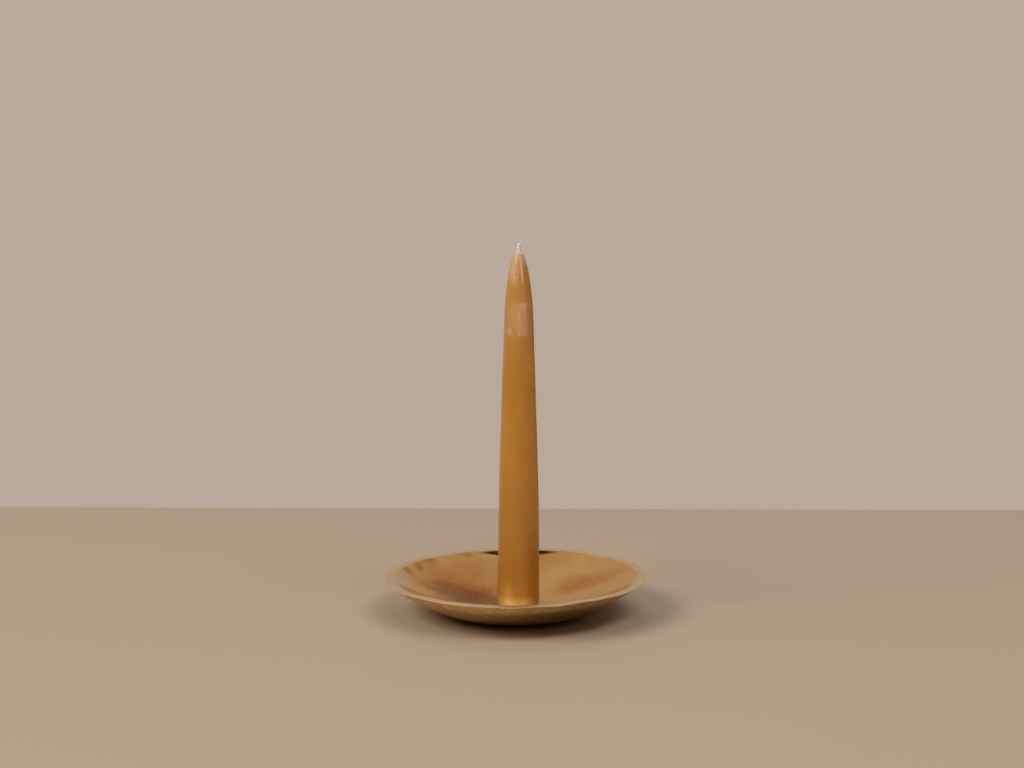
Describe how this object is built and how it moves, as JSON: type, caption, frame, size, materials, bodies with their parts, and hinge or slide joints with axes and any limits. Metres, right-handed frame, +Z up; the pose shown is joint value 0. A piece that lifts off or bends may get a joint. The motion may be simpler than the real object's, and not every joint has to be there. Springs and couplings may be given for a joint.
{
  "type": "candle holder",
  "caption": "Shallow forged brass dish with a flat lip and a central spike that holds an upright tapered candle.",
  "frame": {"origin": "on the surface the foot rests on, under the centre of the dish's rim", "axes": "+Z up along the candle, +X to the right, front of the object towards -Y"},
  "size_m": [0.14, 0.14, 0.1975],
  "materials": {
    "dish_brass": "satin, hand planished, with warm heat stains inside",
    "pricket_brass": "turned, satin",
    "screw_steel": "zinc plated",
    "felt": "pressed wool felt",
    "wax": "satin, slightly translucent beeswax with a pale bloom near the tip",
    "cotton": "braided, unburnt"
  },
  "bodies": {
    "holder": {"dish": "dish_brass", "pricket": "pricket_brass", "pricket_screw": "screw_steel", "felt_pad": "felt"},
    "candle": {"candle_wax": "wax", "candle_wick": "cotton"}
  },
  "joints": [
    {"name": "candle_lift", "type": "slide", "parent": "holder", "child": "candle", "axis": [0, 0, 1], "range_m": [0, 0.045]}
  ]
}
